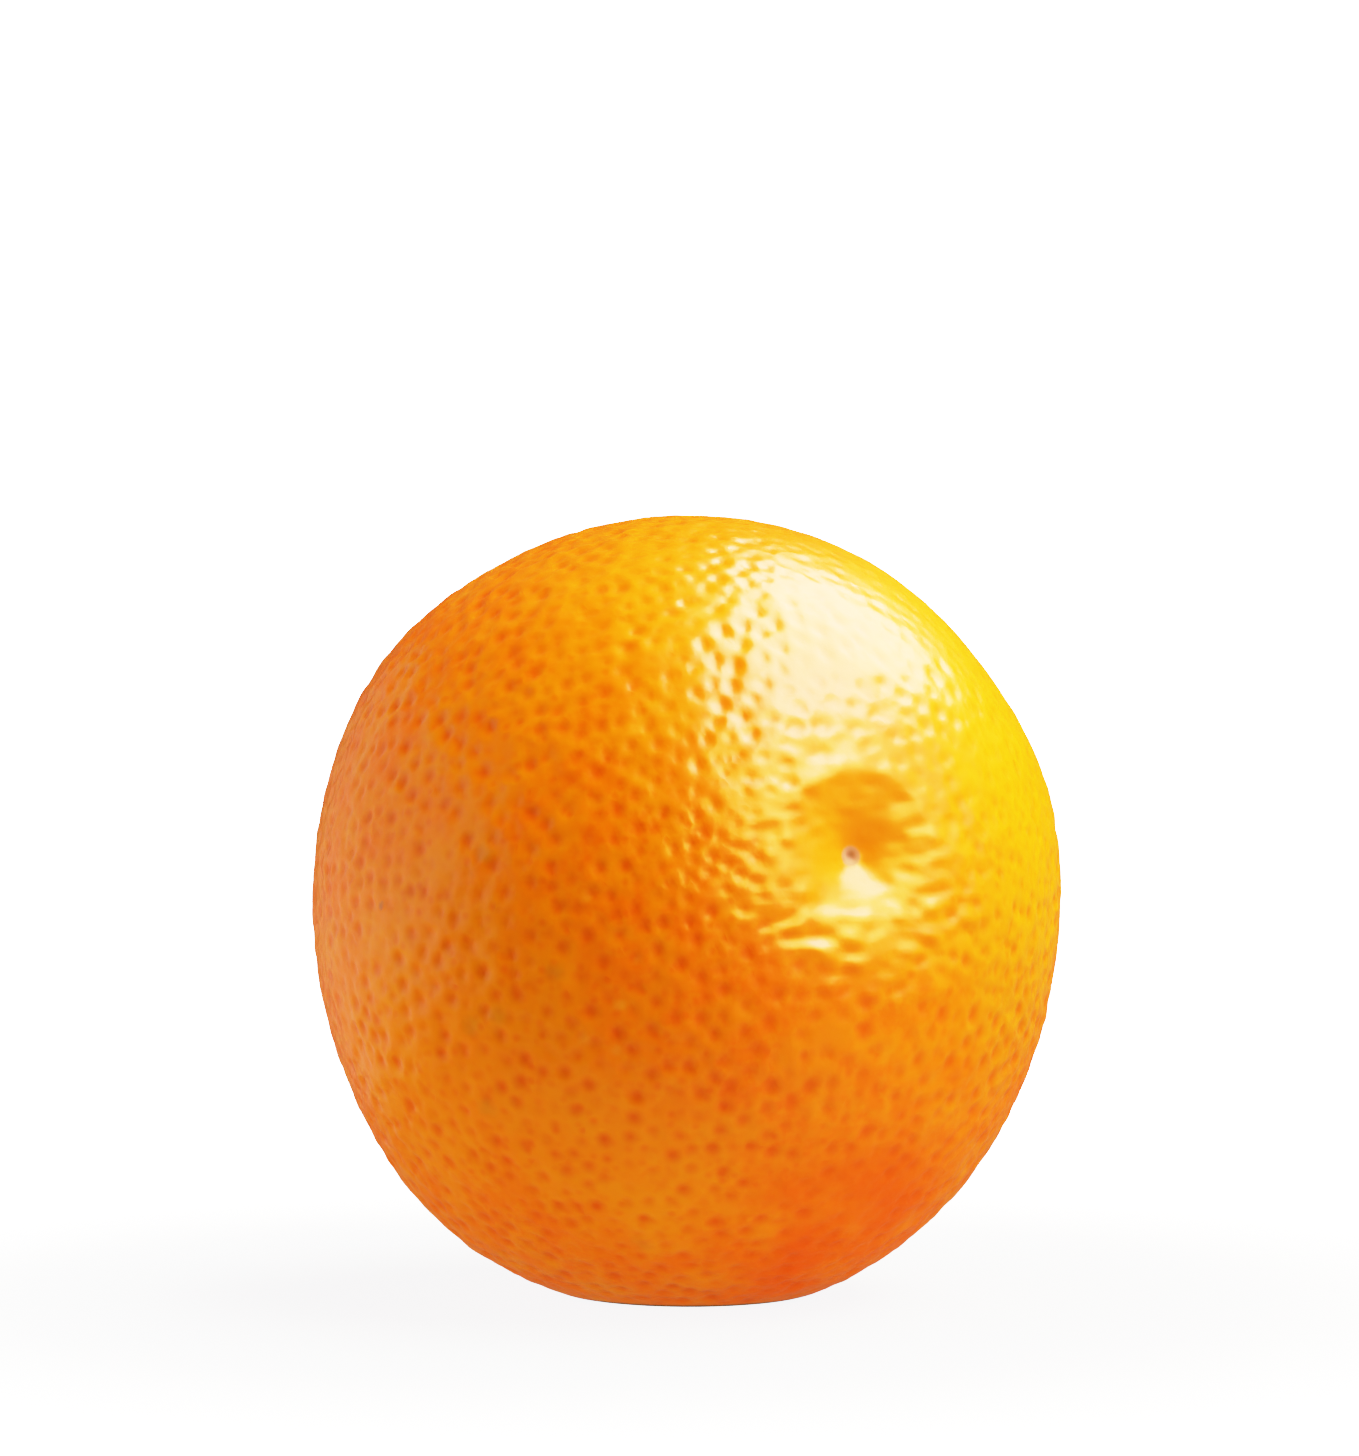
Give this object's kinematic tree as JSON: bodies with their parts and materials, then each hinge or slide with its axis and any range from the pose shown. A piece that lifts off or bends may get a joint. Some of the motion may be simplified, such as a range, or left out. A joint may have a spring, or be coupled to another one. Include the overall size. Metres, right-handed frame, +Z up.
{
  "type": "orange",
  "caption": "Whole sweet orange, a little taller than wide, with a dimpled blossom end and a small woody stem button, leaning over at rest on a small flat spot.",
  "frame": {"origin": "bottom centre of the bounding box, which is the middle of the flat spot the fruit rests on", "axes": "+Z up, the longest extent; -Y to the front, the side the blossom end looks to with a turn to +X; the stem end looks to +Y and -X"},
  "size_m": [0.0747, 0.0735, 0.078],
  "materials": {
    "peel": null,
    "button_wood": "dry woody calyx, matte, green-brown"
  },
  "bodies": {
    "root": {"fruit": "peel", "stem_button": "button_wood"}
  },
  "joints": []
}
